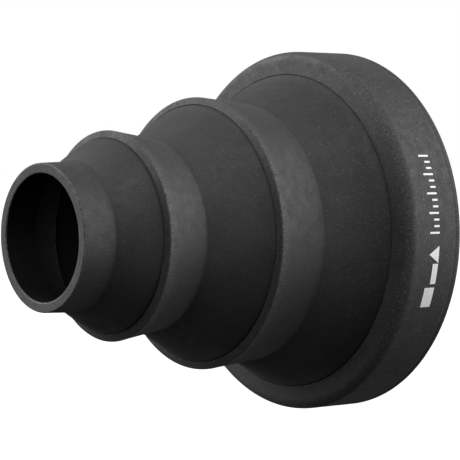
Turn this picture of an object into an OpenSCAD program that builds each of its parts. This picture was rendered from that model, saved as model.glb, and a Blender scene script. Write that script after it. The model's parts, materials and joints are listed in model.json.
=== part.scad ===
// Collapsible silicone snoot: a push-on cup and three coaxial stages. The stages are joined by
// conical webs that flex and turn inside out, so each stage folds back into the one behind it.
//
// Frame: +Z is up, the light travels along -Y, and the origin is the centre of the cup's rear
// opening. Profiles are lists of [radius, station], where a station is the distance forward of
// that opening, towards the mouth.

/* [Mounting cup] */
// Outside diameter of the flash head that the cup grips
head_d = 90; // [80:1:96]
// How much smaller than the head the relaxed grip ribs are, across the diameter
grip_stretch = 1; // [0.4:0.2:2]
// Height of the grip ribs above the cup's inner wall
rib_h = 0.8; // [0.5:0.1:1.2]
// Number of grip ribs
rib_count = 4; // [2:1:4]
// Thickness of the cup's side wall
cup_wall_t = 3.7; // [3:0.1:5]
// Depth of the cup, from its rear opening to its front face
cup_depth = 19; // [17:0.2:22]
// Thickness of the front flange that the head stops against
flange_t = 2.6; // [2.2:0.2:3.2]
// Width of the front face, from the outer wall in to the first web
front_w = 6.3; // [5.6:0.1:7]
// Radius of the rounded shoulder
shoulder_r = 2.8; // [2:0.2:3.6]
// Depth of the thicker bead around the rear opening
bead_depth = 2.4; // [1.8:0.2:3]

/* [Folding stages] */
// Outer radius of the large stage's lip
large_lip_r = 36; // [35:0.1:36.5]
// Outer radius of the middle stage's lip
mid_lip_r = 27.1; // [26:0.1:27.5]
// Outer radius of the mouth
mouth_r = 18.8; // [18:0.1:19.5]
// Length of the large stage's collar, from its rear fold to its lip
large_collar_len = 15.1; // [14:0.1:16]
// Length of the middle stage's collar
mid_collar_len = 12.9; // [11.5:0.1:13.5]
// Length of the nozzle, from its rear fold to its mouth
nozzle_len = 9.3; // [8.5:0.1:11.5]
// How much the large collar narrows from its lip to its fold, on the radius
large_taper = 1.4; // [0.8:0.1:1.8]
// How much the middle collar narrows, on the radius
mid_taper = 2; // [1:0.1:2.2]
// How much wider the nozzle is at its fold than at its mouth, on the radius
nozzle_flare = 0.3; // [0:0.1:0.5]
// Axial height of the web between the cup and the large stage
large_web_rise = 16.2; // [15:0.1:17]
// Axial height of the web between the large and the middle stage
mid_web_rise = 15.2; // [14:0.1:16]
// Axial height of the web between the middle stage and the nozzle
nozzle_web_rise = 10.2; // [9:0.1:11]

/* [Walls] */
// Thickness of the collars and of the nozzle
wall_t = 2.6; // [2.2:0.1:2.8]
// Thickness of the flexing webs
web_t = 1.2; // [0.9:0.1:1.4]
// Thickness of the living hinge in the outer fold of a web
hinge_t = 0.9; // [0.7:0.1:1.2]
// Width of a lip's flat front face
lip_face_w = 2; // [1.7:0.1:2.2]
// How far the inner edge of a lip's face stands ahead of its outer edge
lip_crown = 0.5; // [0.2:0.1:0.7]
// Length of the lip section at the front of each collar
lip_len = 2.6; // [2:0.1:3]
// Rounding of the lips' outer edges
lip_round = 0.4; // [0.2:0.1:0.6]
// Rounding of the edge between a lip's face, or the cup's, and the hinge groove
inner_round = 0.15; // [0.1:0.05:0.3]
// Depth of the hinge groove around the outside of a web
groove_depth = 0.5; // [0.4:0.05:0.9]
// How far a web's root stands proud of the rest of the web, just ahead of its groove
root_rise = 0.35; // [0:0.05:0.4]
// How far the large web bows in towards the axis
large_web_bow = 0.3; // [-0.3:0.1:0.9]
// How far the web of the middle stage bows in
mid_web_bow = 0; // [-0.5:0.1:0.9]
// How far the nozzle's web bows in; below 0 it bows out
nozzle_web_bow = -0.5; // [-0.6:0.1:0.6]

/* [Printed index mark] */
// Thickness of the printed layer
mark_t = 0.1; // [0.05:0.05:0.2]
// Distance from the rear opening to the mark
mark_s = 7.9; // [4:0.1:8.5]
// Height of the tallest bars, along the axis
mark_h = 3.4; // [2.5:0.1:4.5]
// Number of graduation ticks
tick_count = 13; // [7:1:13]

/* [Hidden] */
silicone = [0.15, 0.15, 0.155];
web_tone = [0.11, 0.11, 0.115];
fold_tone = [0.07, 0.07, 0.075];
ink = [0.93, 0.93, 0.92];
turn_fn = 128;
arc_steps = 6;
web_steps = 14;
// Gap that a web keeps from the fold of the stage it carries, because the two bodies part there
body_gap = 0.3;
fold_len = 1.2;
// Distance along a web from its groove to the highest point of its root
root_at = 0.8;
// Share of the inner fold's length that is bent, the rest is straight
fold_bend = 0.35;
// Width of the hinge groove's floor
floor_w = 0.1;

rib_r = (head_d - grip_stretch) / 2;
cup_in_r = rib_r + rib_h;
cup_out_r = cup_in_r + cup_wall_t;
front_in_r = cup_out_r - front_w;
shoulder_start = cup_depth - 5.4;
face_drop = 0.5;
rib_pitch = 2.8;
rib_first = 4.4;
rib_base_w = 1.4;
rib_land_w = 0.6;
edge_round = 0.6;
// Angles of the printed bars and ticks, from +X towards +Z
bar_start = -22.5;
bar_pitch = 7.5;
bar_sweep = 6.3;
tick_start = 0.5;
tick_pitch = 2;
tick_sweep = 0.6;
short_share = 0.55;
seam_s = 1.9;
seam_depth = 0.3;

large_fold_s = cup_depth + large_web_rise;
large_lip_s = large_fold_s + large_collar_len;
large_face_s = large_lip_s + lip_crown;
mid_fold_s = large_face_s + mid_web_rise;
mid_lip_s = mid_fold_s + mid_collar_len;
mid_face_s = mid_lip_s + lip_crown;
nozzle_fold_s = mid_face_s + nozzle_web_rise;
mouth_s = nozzle_fold_s + nozzle_len;

// A stage's collar: [radius at the rear fold, station of the fold, radius at the lip, its station]
large_line = [large_lip_r - large_taper, large_fold_s, large_lip_r, large_lip_s];
mid_line = [mid_lip_r - mid_taper, mid_fold_s, mid_lip_r, mid_lip_s];
nozzle_line = [mouth_r + nozzle_flare, nozzle_fold_s, mouth_r, mouth_s];

// A web: [radius and station of the edge it hangs from, radius and station of its inner fold, bow]
large_span = [front_in_r, cup_depth, large_line[0], large_line[1], large_web_bow];
mid_span = [large_lip_r - lip_face_w, large_face_s, mid_line[0], mid_line[1], mid_web_bow];
nozzle_span = [mid_lip_r - lip_face_w, mid_face_s, nozzle_line[0], nozzle_line[1], nozzle_web_bow];

// Outer radius of a collar at station s
function collar_r(line, s) = line[0] + (line[2] - line[0]) * (s - line[1]) / (line[3] - line[1]);
// Points of a round edge about centre c, from angle a0 to a1
function arc(c, r, a0, a1) =
    [for (i = [0:arc_steps]) c + r * [cos(a0 + (a1 - a0) * i / arc_steps),
                                      sin(a0 + (a1 - a0) * i / arc_steps)]];
// Points of a soft corner that leaves a towards b and arrives at c
function soft_corner(a, b, c) =
    [for (i = [0:arc_steps]) let (t = i / arc_steps)
        (1 - t) * (1 - t) * a + 2 * t * (1 - t) * b + t * t * c];
// Where a web's outer surface starts, on the inner side of its groove's floor
function web_start(span) = [span[0] - floor_w, span[1] - groove_depth];
// The round edge of the face around a web, from the face to the groove
function groove_edge(span) = arc([span[0] + inner_round, span[1] - inner_round], inner_round, 90, 180);
function web_end(span) = [span[2], span[3]];
function web_dir(span) = let (d = web_end(span) - web_start(span)) d / norm(d);
// Unit vector from a web's outer surface to its inner surface
function web_in(span) = let (d = web_dir(span)) [-d[1], d[0]];
// A point of a web's outer surface, t from 0 at the groove to 1 at the inner fold
function web_point(span, t) =
    web_start(span) + t * (web_end(span) - web_start(span)) + 4 * span[4] * t * (1 - t) * web_in(span);
// The share of a web's length that a distance covers
function web_share(span, length) = length / norm(web_end(span) - web_start(span));
// How far the root stands proud at share t, most at root_at from the groove
function root_bulge(span, t) = let (u = t / web_share(span, root_at)) root_rise * u * exp(1 - u);

module about_axis() {
    rotate([90, 0, 0]) children();
}

module lathe(points) {
    about_axis() rotate_extrude($fn = turn_fn) polygon(points);
}

// The thin ring of a web's outer fold, at the bottom of its groove
module outer_fold(span) {
    edge = [span[0], span[1] - groove_depth];
    start = web_start(span);
    color(fold_tone) lathe([
        edge,
        start,
        start + web_t * web_in(span),
        edge - [floor_w + 0.4, hinge_t],
        edge - [0, hinge_t]]);
}

// The flexing cone between two folds. Its steps are short at the root and grow towards the inner fold
module web(span) {
    last = 1 - web_share(span, fold_len + body_gap);
    shares = [for (i = [0:web_steps]) last * i * i / (web_steps * web_steps)];
    outer = [for (t = shares) web_point(span, t) - root_bulge(span, t) * web_in(span)];
    inner = [for (i = [web_steps:-1:0]) web_point(span, shares[i]) + web_t * web_in(span)];
    color(web_tone) lathe(concat(outer, inner));
}

// The soft ring where a web turns into the collar that it carries
module inner_fold(span, line) {
    from = 1 - web_share(span, fold_len);
    top_s = line[1] + fold_len;
    near = web_point(span, from);
    corner = web_end(span);
    far = [collar_r(line, top_s), top_s];
    color(fold_tone) lathe(concat(
        [near],
        soft_corner(corner + fold_bend * (near - corner), corner, corner + fold_bend * (far - corner)),
        [far, far - [wall_t, 0], [line[0] - wall_t, line[1] - 0.2], near + web_t * web_in(span)]));
}

module collar(line) {
    low = line[1] + fold_len;
    high = line[3] - lip_len;
    color(silicone) lathe([
        [collar_r(line, low), low],
        [collar_r(line, high), high],
        [collar_r(line, high) - wall_t, high],
        [collar_r(line, low) - wall_t, low]]);
}

// The front of a collar: a round outer edge, a face, and the ledge that holds the next web
module lip(line, span) {
    low = line[3] - lip_len;
    ledge_s = span[1] - groove_depth - hinge_t;
    centre = [line[2] - lip_round, line[3] - lip_round];
    color(silicone) lathe(concat(
        [[collar_r(line, low), low]],
        arc(centre, lip_round, 0, 80),
        groove_edge(span),
        [[span[0], ledge_s], [line[2] - wall_t, ledge_s], [collar_r(line, low) - wall_t, low]]));
}

module cup_wall() {
    color(silicone) lathe([
        [cup_in_r, bead_depth],
        [cup_out_r, bead_depth],
        [cup_out_r, shoulder_start],
        [cup_in_r, shoulder_start]]);
}

module cup_shoulder() {
    under_s = cup_depth - flange_t;
    centre = [cup_out_r - shoulder_r, cup_depth - face_drop - shoulder_r];
    ledge_s = cup_depth - groove_depth - hinge_t;
    color(silicone) lathe(concat(
        [[cup_in_r, shoulder_start], [cup_out_r, shoulder_start]],
        arc(centre, shoulder_r, 0, 85),
        groove_edge(large_span),
        [[front_in_r, ledge_s], [front_in_r - 0.6, ledge_s], [front_in_r - 0.6, under_s],
         [cup_in_r - edge_round, under_s], [cup_in_r, under_s - edge_round]]));
}

// The thicker rim of the rear opening, with the mould's parting line around it
module cup_rear_bead() {
    color(silicone) lathe(concat(
        [[rib_r, bead_depth - 0.4], [rib_r, edge_round], [rib_r + edge_round, 0]],
        arc([cup_out_r - edge_round, edge_round], edge_round, -90, 0),
        [[cup_out_r, seam_s - seam_depth], [cup_out_r - seam_depth, seam_s],
         [cup_out_r, seam_s + seam_depth], [cup_out_r, bead_depth], [cup_in_r, bead_depth]]));
}

module cup_grip_ribs() {
    for (i = [0:rib_count - 1]) {
        s = rib_first + i * rib_pitch;
        color(silicone) lathe([
            [cup_in_r, s - rib_base_w / 2],
            [cup_in_r, s + rib_base_w / 2],
            [rib_r, s + rib_land_w / 2],
            [rib_r, s - rib_land_w / 2]]);
    }
}

// A flat printed bar on the cup's wall. It starts at an angle from +X towards +Z
module printed_bar(angle, sweep, share) {
    color(ink) rotate([0, -angle, 0]) about_axis()
        rotate_extrude(angle = sweep, $fn = turn_fn)
            translate([cup_out_r, mark_s]) square([mark_t, share * mark_h]);
}

// A small solid triangle on the cup's wall, with its tip towards the mouth
module printed_triangle(middle_z, width) {
    color(ink) intersection() {
        about_axis() difference() {
            cylinder(r = cup_out_r + mark_t, h = cup_depth, $fn = turn_fn);
            translate([0, 0, -1]) cylinder(r = cup_out_r, h = cup_depth + 2, $fn = turn_fn);
        }
        rotate([90, 0, 90]) linear_extrude(cup_out_r + 1) polygon([
            [-mark_s, middle_z - width / 2],
            [-mark_s, middle_z + width / 2],
            [-mark_s - mark_h, middle_z]]);
    }
}

// Two solid bars, a triangle, and a graduated scale
module cup_index_mark() {
    for (i = [0:tick_count - 1]) {
        printed_bar(tick_start + i * tick_pitch, tick_sweep, i % 3 == 0 ? 1 : short_share);
    }
    for (i = [0:1]) {
        printed_bar(bar_start + i * bar_pitch, bar_sweep, i == 0 ? 1 : short_share);
    }
    printed_triangle(-5, 4.4);
}

module large_web_outer_fold() {
    outer_fold(large_span);
}

module large_web() {
    web(large_span);
}

module large_web_inner_fold() {
    inner_fold(large_span, large_line);
}

module large_collar() {
    collar(large_line);
}

module large_lip() {
    lip(large_line, mid_span);
}

module mid_web_outer_fold() {
    outer_fold(mid_span);
}

module mid_web() {
    web(mid_span);
}

module mid_web_inner_fold() {
    inner_fold(mid_span, mid_line);
}

module mid_collar() {
    collar(mid_line);
}

module mid_lip() {
    lip(mid_line, nozzle_span);
}

module nozzle_web_outer_fold() {
    outer_fold(nozzle_span);
}

module nozzle_web() {
    web(nozzle_span);
}

module nozzle_web_inner_fold() {
    inner_fold(nozzle_span, nozzle_line);
}

module nozzle_tube() {
    collar(nozzle_line);
}

// The front of the nozzle, rounded on both edges of its flat face
module mouth_lip() {
    low = mouth_s - lip_len;
    round_r = 0.35;
    bore_r = mouth_r - wall_t;
    color(silicone) lathe(concat(
        [[collar_r(nozzle_line, low), low]],
        arc([mouth_r - round_r, mouth_s - round_r], round_r, 0, 90),
        arc([bore_r + round_r, mouth_s - round_r], round_r, 90, 180),
        [[collar_r(nozzle_line, low) - wall_t, low]]));
}

cup_wall();
cup_shoulder();
cup_rear_bead();
cup_grip_ribs();
cup_index_mark();
large_web_outer_fold();
large_web();
large_web_inner_fold();
large_collar();
large_lip();
mid_web_outer_fold();
mid_web();
mid_web_inner_fold();
mid_collar();
mid_lip();
nozzle_web_outer_fold();
nozzle_web();
nozzle_web_inner_fold();
nozzle_tube();
mouth_lip();
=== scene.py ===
import json
import math

import bmesh
import bpy
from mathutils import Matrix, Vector, noise


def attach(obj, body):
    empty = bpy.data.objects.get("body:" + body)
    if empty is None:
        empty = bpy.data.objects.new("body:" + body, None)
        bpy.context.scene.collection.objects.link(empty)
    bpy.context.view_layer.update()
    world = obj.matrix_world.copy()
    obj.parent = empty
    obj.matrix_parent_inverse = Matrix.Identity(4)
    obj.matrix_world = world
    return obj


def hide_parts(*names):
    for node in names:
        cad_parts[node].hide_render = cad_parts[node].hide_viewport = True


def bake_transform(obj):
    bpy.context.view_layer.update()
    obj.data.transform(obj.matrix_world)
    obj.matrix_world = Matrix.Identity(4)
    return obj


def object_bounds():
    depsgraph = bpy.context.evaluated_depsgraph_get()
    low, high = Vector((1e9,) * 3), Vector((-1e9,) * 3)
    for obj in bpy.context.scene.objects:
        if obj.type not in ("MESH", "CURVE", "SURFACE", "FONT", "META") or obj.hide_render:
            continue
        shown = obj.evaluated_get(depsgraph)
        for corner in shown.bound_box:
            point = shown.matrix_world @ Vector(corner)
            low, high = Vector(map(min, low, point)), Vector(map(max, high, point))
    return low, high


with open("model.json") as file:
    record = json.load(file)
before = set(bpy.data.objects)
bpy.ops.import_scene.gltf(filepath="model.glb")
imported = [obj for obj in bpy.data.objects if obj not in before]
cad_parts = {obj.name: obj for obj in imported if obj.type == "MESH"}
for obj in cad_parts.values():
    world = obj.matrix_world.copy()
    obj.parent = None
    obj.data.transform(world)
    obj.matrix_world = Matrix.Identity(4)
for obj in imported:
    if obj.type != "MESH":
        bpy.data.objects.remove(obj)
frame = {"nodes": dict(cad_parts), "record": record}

MM = 0.001
cad_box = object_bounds()

# ---------------------------------------------------------------- view and stage
VIEW_AZIMUTH = math.radians(50.8)
VIEW_ELEVATION = math.radians(2.2)
VIEW_DISTANCE = 0.5463
AIM = Vector((0.0072, -0.0439, 0.0010))
LENS_MM = 162.0
FLOOR_DROP = 0.11
FLOOR_REACH = 12.0
LIGHT_SPREAD = 34

# ---------------------------------------------------------------- moulding
SEGMENTS = 192
STEP = 0.3 * MM
SAME_POINT = 0.03 * MM
GAP_REACH = 0.45 * MM
SOFTEN_PASSES = 1
EDGE_REACH = 0.3 * MM
EDGE_SAMPLES = 32
EDGE_FROM = 0.05
EDGE_FULL = 0.14
# How sunk a point must be for the full painted shade in grooves
SUNK_SHADE_FULL = 0.22
SANDY_REACH = 4 * MM
SEAM_ANGLE = math.radians(55)
SEEN_DEPTH = {"cup_shoulder": 0.8 * MM, "large_lip": 0.8 * MM, "mid_lip": 0.8 * MM, "mouth_lip": 0.3 * MM}
SANDY_EDGES = ("cup_shoulder", "large_lip", "mid_lip")
STAGE_LIFT = 0.1 * MM
LIFT_FROM = 52 * MM
LIFT_FULL = 66 * MM
WOBBLE = 0.12 * MM
WOBBLE_SIZE = 24 * MM
WOBBLE_SEED = 1
WOBBLE_FROM = 22 * MM
WOBBLE_FULL = 36 * MM


def toward_camera():
    flat = math.cos(VIEW_ELEVATION)
    return Vector((math.sin(VIEW_AZIMUTH) * flat, -math.cos(VIEW_AZIMUTH) * flat, math.sin(VIEW_ELEVATION)))


def add_camera():
    data = bpy.data.cameras.new("camera")
    data.sensor_width = 36.0
    data.lens = LENS_MM
    data.clip_start = 0.01
    data.clip_end = 20.0
    camera = bpy.data.objects.new("camera", data)
    camera.location = AIM + toward_camera() * VIEW_DISTANCE
    camera.rotation_euler = (-toward_camera()).to_track_quat("-Z", "Y").to_euler()
    bpy.context.scene.collection.objects.link(camera)
    bpy.context.scene.camera = camera


# ---------------------------------------------------------------- outlines from the frame
def chained(links):
    """Closed loops of points from pairs of neighbouring points."""
    loops = []
    while links:
        loop = list(links.pop())
        grown = True
        while grown:
            grown = False
            for pair in links:
                if loop[-1] in pair:
                    links.remove(pair)
                    loop.append(pair[1] if pair[0] == loop[-1] else pair[0])
                    grown = True
                    break
        loops.append([Vector(p) * MM for p in loop[:-1]])
    return loops


def sections(node):
    """The closed outlines, as (radius, station), where the half plane z = 0, x > 0 cuts a CAD node."""
    bm = bmesh.new()
    bm.from_mesh(frame["nodes"][node].data)
    bmesh.ops.remove_doubles(bm, verts=bm.verts, dist=1e-7)
    everything = bm.verts[:] + bm.edges[:] + bm.faces[:]
    cut = bmesh.ops.bisect_plane(bm, geom=everything, dist=1e-6, plane_co=(0, 0, 0), plane_no=(0, 0, 1))
    links = []
    for edge in cut["geom_cut"]:
        if isinstance(edge, bmesh.types.BMEdge) and min(v.co.x for v in edge.verts) > 0:
            links.append([(round(v.co.x / MM, 3), round(-v.co.y / MM, 3)) for v in edge.verts])
    bm.free()
    return chained(links)


def near_segment(point, a, b):
    """How far a point is from the straight line between two corners."""
    side = b - a
    share = max(0.0, min(1.0, (point - a).dot(side) / max(side.dot(side), 1e-18)))
    return (point - a - side * share).length


def touches(point, loops):
    """Whether a point lies on one of these outlines."""
    for loop in loops:
        for i, corner in enumerate(loop):
            if near_segment(point, loop[i - 1], corner) < SAME_POINT:
                return True
    return False


def close_gap(web, fold):
    """Moves the end corners of a web's outline onto the corners of the fold that it runs into."""
    corners = [c for loop in outlines[fold] for c in loop]
    for loop in outlines[web]:
        for i, point in enumerate(loop):
            nearest = min(corners, key=lambda c: (c - point).length)
            if (nearest - point).length < GAP_REACH:
                loop[i] = nearest.copy()


def inside(point, loop):
    """Whether a point lies within an outline, by counting the sides to the right of it."""
    result = False
    for i, b in enumerate(loop):
        a = loop[i - 1]
        if (a.y > point.y) != (b.y > point.y):
            if point.x < a.x + (point.y - a.y) * (b.x - a.x) / (b.y - a.y):
                result = not result
    return result


def openness(point, loops):
    """The share of a small circle round a point that is free of silicone.

    It is half on a flat wall, more on an edge and less in a groove.
    """
    free = 0
    for k in range(EDGE_SAMPLES):
        angle = 2 * math.pi * (k + 0.5) / EDGE_SAMPLES
        sample = point + Vector((math.cos(angle), math.sin(angle))) * EDGE_REACH
        free += not any(inside(sample, loop) for loop in loops)
    return free / EDGE_SAMPLES


def softened(loop, others):
    """An outline in short steps, anticlockwise, with exposed corners rounded and seams left sharp."""
    area = sum(loop[i - 1].x * p.y - loop[i - 1].y * p.x for i, p in enumerate(loop))
    corners = loop if area > 0 else loop[::-1]
    points = []
    pinned = []
    for i, corner in enumerate(corners):
        start = corners[i - 1]
        count = max(1, round((corner - start).length / STEP))
        for k in range(count):
            points.append(start.lerp(corner, k / count))
            pinned.append(k == 0 and touches(start, others))
    for _ in range(SOFTEN_PASSES):
        count = len(points)
        moved = [(points[i - 1] + points[(i + 1) % count]) / 4 + points[i] / 2 for i in range(count)]
        points = [p if fixed else m for p, m, fixed in zip(points, moved, pinned)]
    return points


def facings(points):
    """How far each point of an anticlockwise outline faces the axis, away from it, and forward, 0 to 1."""
    inward, outward, forward = [], [], []
    for i in range(len(points)):
        along = (points[(i + 1) % len(points)] - points[i - 1]).normalized()
        inward.append(max(0.0, -along.y))
        outward.append(max(0.0, along.y))
        forward.append(max(0.0, -along.x))
    return inward, outward, forward


def near_box(a, b):
    """Whether the boxes round two outlines come within reach of each other."""
    return all(min(p[i] for p in a) - EDGE_REACH < max(p[i] for p in b) and
               min(p[i] for p in b) - EDGE_REACH < max(p[i] for p in a) for i in (0, 1))


# ---------------------------------------------------------------- revolved pieces
def held(value):
    """A value kept between 0 and 1."""
    return max(0.0, min(1.0, value))


def wobble(place):
    """The slight unevenness of soft silicone, none on the cup, and the lift of the two front stages."""
    share = held((-place.y - WOBBLE_FROM) / (WOBBLE_FULL - WOBBLE_FROM))
    lift = STAGE_LIFT * held((-place.y - LIFT_FROM) / (LIFT_FULL - LIFT_FROM))
    push = noise.noise_vector(place / WOBBLE_SIZE) * (WOBBLE * share)
    return Vector((push.x, 0, push.z + lift))


def sandiness(points, outward):
    """How much dust lies on each outline point: most just behind a front edge, none beyond its reach."""
    result = []
    for p, share in zip(points, outward):
        behind = [front - p.y for front in sandy_fronts if front > p.y]
        result.append(share * max([held(1 - gap / SANDY_REACH) for gap in behind], default=0.0))
    return result


def revolved(name, loops, others):
    """A closed mesh made by turning outlines about the axis; its attributes say how each point lies.

    wear is how far a point sticks out, the sunk level how far it is sunk, which paints shade into grooves,
    inward and forward which way it faces, and sandy how much dust lies on it.
    """
    verts, faces = [], []
    levels = {"wear": [], "sunk_shade": [], "inward": [], "forward": [], "sandy": []}
    for points in loops:
        first = len(verts)
        count = len(points)
        reach = [near for near in loops + others if near_box(points, near)]
        free = [openness(p, reach) - 0.5 for p in points]
        inward, outward, forward = facings(points)
        deepest_seen = max(p.y for p in points) - SEEN_DEPTH.get(name, 0.0)
        inward = [0.0 if p.y > deepest_seen else share for p, share in zip(points, inward)]
        sandy = sandiness(points, outward)
        for k in range(SEGMENTS):
            angle = 2 * math.pi * k / SEGMENTS
            levels["inward"] += inward
            levels["forward"] += forward
            levels["sandy"] += sandy
            for p, share in zip(points, free):
                place = Vector((p.x * math.cos(angle), -p.y, p.x * math.sin(angle)))
                verts.append(place + wobble(place))
                levels["wear"].append(held((share - EDGE_FROM) / (EDGE_FULL - EDGE_FROM)))
                # The sunk level, which the material uses to paint shade into grooves
                levels["sunk_shade"].append(held(-share / SUNK_SHADE_FULL))
        for k in range(SEGMENTS):
            here = first + k * count
            there = first + (k + 1) % SEGMENTS * count
            for i in range(count):
                j = (i + 1) % count
                faces.append((here + i, there + i, there + j, here + j))
    mesh = bpy.data.meshes.new(name)
    mesh.from_pydata(verts, [], faces)
    for label, values in levels.items():
        mesh.attributes.new(label, "FLOAT", "POINT").data.foreach_set("value", values)
    mesh.shade_smooth()
    mesh.set_sharp_from_angle(angle=SEAM_ANGLE)
    mesh.update()
    piece = bpy.data.objects.new(name + "_moulding", mesh)
    bpy.context.scene.collection.objects.link(piece)
    return piece


# ---------------------------------------------------------------- materials
DARK = (0.026, 0.026, 0.027)
LIGHT = (0.034, 0.034, 0.0355)
WEB_DARK = (0.024, 0.024, 0.025)
WEB_LIGHT = (0.031, 0.031, 0.0325)
FOLD_DARK = (0.022, 0.022, 0.023)
FOLD_LIGHT = (0.03, 0.03, 0.0315)
DUST = (0.16, 0.16, 0.165)
WORN = (0.13, 0.13, 0.135)
INK = (0.97, 0.97, 0.96)
PINHOLE = (0.6, 0.6, 0.6)
GRAIN_TONE = 1.6
# Painted shade: how dark grooves and the inside are painted, as shares of the dark tone
SUNK_SHADE_TONE = 0.4
INSIDE_SHADE_TONE = 0.25

# Texture scales, in repeats per metre
MOTTLE_SCALE = 110.0
SHEEN_SCALE = 420.0
RUB_SCALE = 1500.0
CUT_SCALE = 1700.0
SAND_SCALE = 1800.0
GRAIN_SCALE = 2600.0
INK_SCALE = 2400.0
FINE_SPECK_SCALE = 1400.0
FINE_SPECK_SIZE = 0.3
SPARSE_SPECK_SCALE = 300.0
SPARSE_SPECK_SIZE = 0.07
SPARSE_SPECK_GAIN = 2.2

# How strongly each effect covers the silicone's own tone
DUST_SHARE = 0.25
SAND_SHARE = 0.5
SUNK_SHADE_SHARE = 0.6
WORN_SHARE = 0.6
CUT_WORN_SHARE = 1.0
CUT_SHARE = 0.22
THIN_SPECKLE = 0.85

# Between these two places along Y the dust thickens toward the cup, from the least to the most
DUST_FROM = -45 * MM
DUST_TO = -12 * MM
DUST_LEAST = 0.8
DUST_MOST = 1.9

# A surface counts as inside between these shares of facing the axis; the inside gets painted shade, near
# black, and less shine
INSIDE_FROM = 0.25
INSIDE_FULL = 0.8
SPECULAR = 0.38
INSIDE_SPECULAR = 0.04
SHEEN = 0.06


def graph(material):
    """A new material's node tree, its shader, and a function that adds a node with settings."""
    material.use_nodes = True
    tree = material.node_tree
    shader = tree.nodes["Principled BSDF"]

    def add(kind, **settings):
        node = tree.nodes.new(kind)
        for key, value in settings.items():
            if key in node.inputs:
                node.inputs[key].default_value = value
            else:
                setattr(node, key, value)
        return node

    return tree, shader, add


def ramp(add, tree, source, low, high, start=0.0, end=1.0):
    """A value mapped from low..high to start..end, held at both ends."""
    node = add("ShaderNodeMapRange", clamp=True)
    for key, value in (("From Min", low), ("From Max", high), ("To Min", start), ("To Max", end)):
        node.inputs[key].default_value = value
    tree.links.new(source, node.inputs["Value"])
    return node.outputs["Result"]


def blended(add, tree, share, a, b):
    """A colour between a and b, each a colour or a socket."""
    node = add("ShaderNodeMix", data_type="RGBA")
    tree.links.new(share, node.inputs["Factor"])
    for socket, value in ((node.inputs[6], a), (node.inputs[7], b)):
        if isinstance(value, tuple):
            socket.default_value = (*value, 1.0)
        else:
            tree.links.new(value, socket)
    return node.outputs[2]


def product(add, tree, a, b, operation="MULTIPLY"):
    """Two values, each a number or a socket, multiplied or joined by another operation."""
    node = add("ShaderNodeMath", operation=operation)
    for socket, value in zip(node.inputs, (a, b)):
        if isinstance(value, (int, float)):
            socket.default_value = value
        else:
            tree.links.new(value, socket)
    return node.outputs["Value"]


def scaled(colour, factor):
    """A colour made lighter or darker."""
    return tuple(c * factor for c in colour)


def silicone(name, dark, light, speckle=1.0, cut_share=0.0, worn_share=WORN_SHARE):
    """Matte moulded silicone: cloudy tone, fine grain and dust, with paler edges, painted shade in grooves
    and an inside painted near black as shade.
    """
    material = bpy.data.materials.new(name)
    tree, shader, add = graph(material)
    place = add("ShaderNodeTexCoord").outputs["Object"]

    def cloud(scale, detail=3.0, rough=0.55):
        node = add("ShaderNodeTexNoise", Scale=scale, Detail=detail, Roughness=rough)
        tree.links.new(place, node.inputs["Vector"])
        return node.outputs["Fac"]

    def specks(scale, size):
        node = add("ShaderNodeTexVoronoi", Scale=scale)
        tree.links.new(place, node.inputs["Vector"])
        return ramp(add, tree, node.outputs["Distance"], size * 0.55, size, 1.0, 0.0)

    def level(label):
        return add("ShaderNodeAttribute", attribute_name=label).outputs["Fac"]

    def patchy(value, scale, low, high):
        return product(add, tree, value, ramp(add, tree, cloud(scale, 2.0), low, high))

    def over(share, amount, below, tone):
        return blended(add, tree, product(add, tree, share, amount), below, tone)

    def by_inside(outside, inside):
        return ramp(add, tree, inward, INSIDE_FROM, INSIDE_FULL, outside, inside)

    inward = level("inward")
    axes = add("ShaderNodeSeparateXYZ")
    tree.links.new(place, axes.inputs["Vector"])
    settled = ramp(add, tree, axes.outputs["Y"], DUST_FROM, DUST_TO, DUST_LEAST, DUST_MOST)

    grain = cloud(GRAIN_SCALE, 2.0, 0.6)
    grain_share = ramp(add, tree, grain, 0.42, 0.72, 0.0, 0.55)
    fine = specks(FINE_SPECK_SCALE, FINE_SPECK_SIZE * speckle)
    sparse = specks(SPARSE_SPECK_SCALE, SPARSE_SPECK_SIZE * speckle)
    dust = product(add, tree, fine, product(add, tree, sparse, SPARSE_SPECK_GAIN), "MAXIMUM")
    dust_share = product(add, tree, dust, DUST_SHARE)
    cut_face = ramp(add, tree, level("forward"), 0.85, 0.98)

    tone = blended(add, tree, ramp(add, tree, cloud(MOTTLE_SCALE), 0.35, 0.68), dark, light)
    tone = blended(add, tree, grain_share, tone, scaled(light, GRAIN_TONE))
    tone = over(dust_share, settled, tone, DUST)
    tone = over(patchy(level("sandy"), SAND_SCALE, 0.44, 0.6), SAND_SHARE, tone, DUST)
    tone = over(patchy(cut_face, CUT_SCALE, 0.35, 0.65), cut_share, tone, DUST)
    tone = over(patchy(level("wear"), RUB_SCALE, 0.38, 0.62), worn_share, tone, WORN)
    # Painted shade: grooves and creases are darkened by how far they are sunk, standing in for shadow
    tone = over(level("sunk_shade"), SUNK_SHADE_SHARE, tone, scaled(dark, SUNK_SHADE_TONE))
    # Painted shade: the inside, facing the axis, is painted near black where it would lie in shadow
    tone = blended(add, tree, by_inside(0.0, 1.0), tone, scaled(dark, INSIDE_SHADE_TONE))
    tree.links.new(tone, shader.inputs["Base Color"])

    roughness = ramp(add, tree, cloud(SHEEN_SCALE), 0.3, 0.7, 0.56, 0.72)
    tree.links.new(roughness, shader.inputs["Roughness"])
    tree.links.new(by_inside(SPECULAR, INSIDE_SPECULAR), shader.inputs["Specular IOR Level"])
    tree.links.new(by_inside(SHEEN, 0.0), shader.inputs["Sheen Weight"])
    shader.inputs["Sheen Roughness"].default_value = 0.5

    height = product(add, tree, grain, product(add, tree, dust, 0.9), "ADD")
    bump = add("ShaderNodeBump", Strength=0.35, Distance=0.06 * MM)
    tree.links.new(height, bump.inputs["Height"])
    tree.links.new(bump.outputs["Normal"], shader.inputs["Normal"])
    return material


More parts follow.
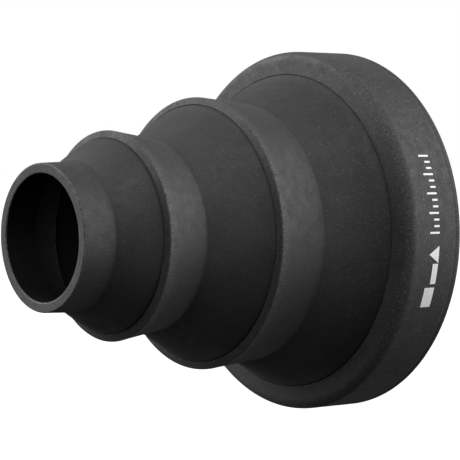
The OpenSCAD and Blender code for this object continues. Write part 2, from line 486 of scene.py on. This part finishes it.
def printed_ink(name):
    """White pad-printed ink with a faint mesh of pinholes."""
    material = bpy.data.materials.new(name)
    tree, shader, add = graph(material)
    place = add("ShaderNodeTexCoord").outputs["Object"]
    node = add("ShaderNodeTexNoise", Scale=INK_SCALE, Detail=2.0)
    tree.links.new(place, node.inputs["Vector"])
    holes = ramp(add, tree, node.outputs["Fac"], 0.3, 0.37, 1.0, 0.0)
    tree.links.new(blended(add, tree, holes, INK, PINHOLE), shader.inputs["Base Color"])
    tree.links.new(ramp(add, tree, node.outputs["Fac"], 0.3, 0.7, 0.45, 0.6), shader.inputs["Roughness"])
    bump = add("ShaderNodeBump", Strength=0.2, Distance=0.02 * MM)
    tree.links.new(node.outputs["Fac"], bump.inputs["Height"])
    tree.links.new(bump.outputs["Normal"], shader.inputs["Normal"])
    return material


# ---------------------------------------------------------------- stage
def add_floor():
    """A pale floor, low enough to leave the object free, that neither shades nor lights it."""
    mesh = bpy.data.meshes.new("floor")
    level = cad_box[0].z - FLOOR_DROP
    turns = ((-1, -1), (1, -1), (1, 1), (-1, 1))
    corners = [(x * FLOOR_REACH, y * FLOOR_REACH, level) for x, y in turns]
    mesh.from_pydata(corners, [], [(0, 1, 2, 3)])
    floor = bpy.data.objects.new("floor", mesh)
    bpy.context.scene.collection.objects.link(floor)
    material = bpy.data.materials.new("floor_paper")
    tree, shader, add = graph(material)
    shader.inputs["Base Color"].default_value = (0.9, 0.9, 0.9, 1.0)
    shader.inputs["Roughness"].default_value = 0.9
    shader.inputs["Specular IOR Level"].default_value = 0.0
    mesh.materials.append(material)
    floor.visible_diffuse = False
    floor.visible_glossy = False
    floor.visible_shadow = False


def add_world(seen, felt):
    """A white surround for the camera, and a weaker one that lights the object."""
    world = bpy.data.worlds.new("surround")
    bpy.context.scene.world = world
    world.use_nodes = True
    tree = world.node_tree
    tree.nodes.clear()
    path = tree.nodes.new("ShaderNodeLightPath")
    strength = tree.nodes.new("ShaderNodeMapRange")
    strength.inputs["To Min"].default_value = felt
    strength.inputs["To Max"].default_value = seen
    background = tree.nodes.new("ShaderNodeBackground")
    background.inputs["Color"].default_value = (1.0, 1.0, 1.0, 1.0)
    output = tree.nodes.new("ShaderNodeOutputWorld")
    tree.links.new(path.outputs["Is Camera Ray"], strength.inputs["Value"])
    tree.links.new(strength.outputs["Result"], background.inputs["Strength"])
    tree.links.new(background.outputs["Background"], output.inputs["Surface"])


def add_light(name, azimuth, elevation, strength):
    """A broad soft light; azimuth is 0 in front of the mouth and 90 on the +X side, in degrees."""
    data = bpy.data.lights.new(name, "SUN")
    data.angle = math.radians(LIGHT_SPREAD)
    data.energy = strength
    light = bpy.data.objects.new(name, data)
    a, e = math.radians(azimuth), math.radians(elevation)
    back = Vector((math.sin(a) * math.cos(e), -math.cos(a) * math.cos(e), math.sin(e)))
    light.rotation_euler = (-back).to_track_quat("-Z", "Y").to_euler()
    bpy.context.scene.collection.objects.link(light)


# ---------------------------------------------------------------- the snoot
body_of_node = {n: body for body, nodes in frame["record"]["behaviour"]["bodies"].items() for n in nodes}
slot_of_node = {part["node"]: part["material_slot"] for part in frame["record"]["subparts"]}
moulded = [n for n in sorted(body_of_node) if n != "cup_index_mark"]
webs = [n for n in moulded if n.endswith("_web")]
outlines = {n: sections(n) for n in moulded}
sandy_fronts = [max(p.y for loop in outlines[n] for p in loop) for n in SANDY_EDGES]
for web in webs:
    close_gap(web, web + "_inner_fold")
noise.seed_set(WOBBLE_SEED)

materials = {
    "silicone": silicone("silicone", DARK, LIGHT),
    "web_silicone": silicone("web_silicone", WEB_DARK, WEB_LIGHT, THIN_SPECKLE),
    "fold_silicone": silicone("fold_silicone", FOLD_DARK, FOLD_LIGHT, THIN_SPECKLE),
    "cut_silicone": silicone("cut_silicone", DARK, LIGHT, 1.0, CUT_SHARE, CUT_WORN_SHARE),
    "white_ink": printed_ink("white_ink"),
}

for node in moulded:
    others = [loop for n in moulded if n != node for loop in outlines[n]]
    piece = revolved(node, [softened(loop, others) for loop in outlines[node]], others)
    finish = "cut_silicone" if node == "mouth_lip" else slot_of_node[node]
    piece.data.materials.append(materials[finish])
    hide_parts(node)
    if node in webs:
        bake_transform(piece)
    else:
        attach(piece, body_of_node[node])

mark = frame["nodes"]["cup_index_mark"]
mark.data.materials.clear()
mark.data.materials.append(materials["white_ink"])

add_camera()
add_floor()
add_world(1.0, 0.0)
add_light("right_softbox_high", 150, 35, 1.45)
add_light("right_softbox_low", 120, 8, 1.0)
add_light("right_softbox_rear", 150, 8, 0.85)
add_light("left_softbox_high", 300, 35, 2.3)
add_light("left_softbox_low", 300, 8, 0.85)
add_light("front_fill", 30, 35, 0.7)
add_light("overhead_fill", 45, 62, 1.25)
add_light("under_fill", 270, -60, 0.1)
bpy.context.scene.view_settings.view_transform = "Standard"
